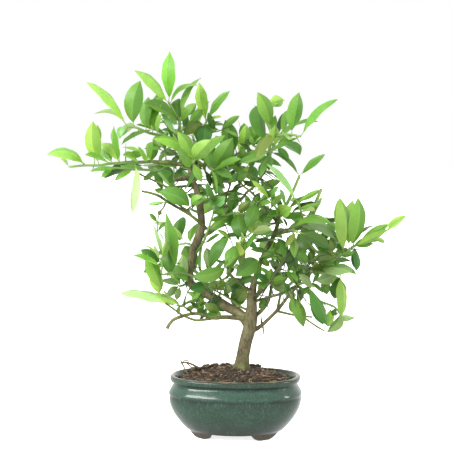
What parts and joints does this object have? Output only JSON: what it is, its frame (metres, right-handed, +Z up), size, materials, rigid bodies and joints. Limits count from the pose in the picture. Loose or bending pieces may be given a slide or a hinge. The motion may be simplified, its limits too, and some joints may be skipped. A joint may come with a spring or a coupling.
{
  "type": "bonsai tree in a pot",
  "caption": "Small leafy citrus bonsai, a limequat, with a bent trunk and open crown, in an oval glazed pot on low feet, filled with soil.",
  "frame": {"origin": "on the ground, below the middle of the whole tree's bounding box", "axes": "+Z up along the trunk, -Y the front of the tree, +X to its right as seen from the front"},
  "size_m": [0.4552, 0.2456, 0.4918],
  "materials": {
    "glaze": "glossy teal-green glaze with darker bands and speckles, worn lighter at the rim; bare brown clay feet",
    "soil": "dark brown crumbly soil with reddish bark fibres",
    "bark": "matt olive grey-brown bark, mottled darker, greener on young twigs",
    "leaf": "soft satin leaves from pale yellow-green to deep green, lighter below, with green shoot stems"
  },
  "bodies": {
    "root": {"pot": "glaze", "soil": "soil", "trunk": "bark", "shoot_left_tip": "leaf", "shoot_left_under": "leaf", "shoot_upper_left": "leaf", "shoot_top": "leaf", "shoot_rear_top": "leaf", "shoot_crown_side": "leaf", "shoot_crown_front": "leaf", "shoot_crown_middle": "leaf", "shoot_upper_right": "leaf", "shoot_upright": "leaf", "shoot_long_strap": "leaf", "shoot_left_strap": "leaf", "shoot_cut_high": "leaf", "shoot_cut_low": "leaf", "shoot_right_front": "leaf", "shoot_far_right": "leaf", "shoot_right_hanging": "leaf", "shoot_right_tip": "leaf", "shoot_low_right": "leaf", "shoot_low_light": "leaf", "shoot_centre_right": "leaf", "shoot_centre_limb": "leaf", "shoot_left_hanging": "leaf", "shoot_middle": "leaf", "shoot_web": "leaf", "shoot_middle_left": "leaf", "shoot_inner": "leaf", "shoot_trunk_left": "leaf", "shoot_crossing": "leaf", "shoot_pale_front": "leaf", "shoot_limb_bend": "leaf", "shoot_left_low": "leaf", "shoot_low_left_limb": "leaf", "shoot_node": "leaf", "shoot_low_centre": "leaf", "shoot_low_front": "leaf", "shoot_centre_left": "leaf", "shoot_low_fork": "leaf", "shoot_back_crown_left": "leaf", "shoot_back_crown_middle": "leaf", "shoot_back_crown_right": "leaf", "shoot_back_left": "leaf", "shoot_back_upper_right": "leaf", "shoot_back_centre": "leaf", "shoot_back_right": "leaf", "shoot_back_right_low": "leaf", "shoot_back_low_right": "leaf", "shoot_back_low_left": "leaf", "shoot_back_left_middle": "leaf", "shoot_back_upper_middle": "leaf"}
  },
  "joints": []
}
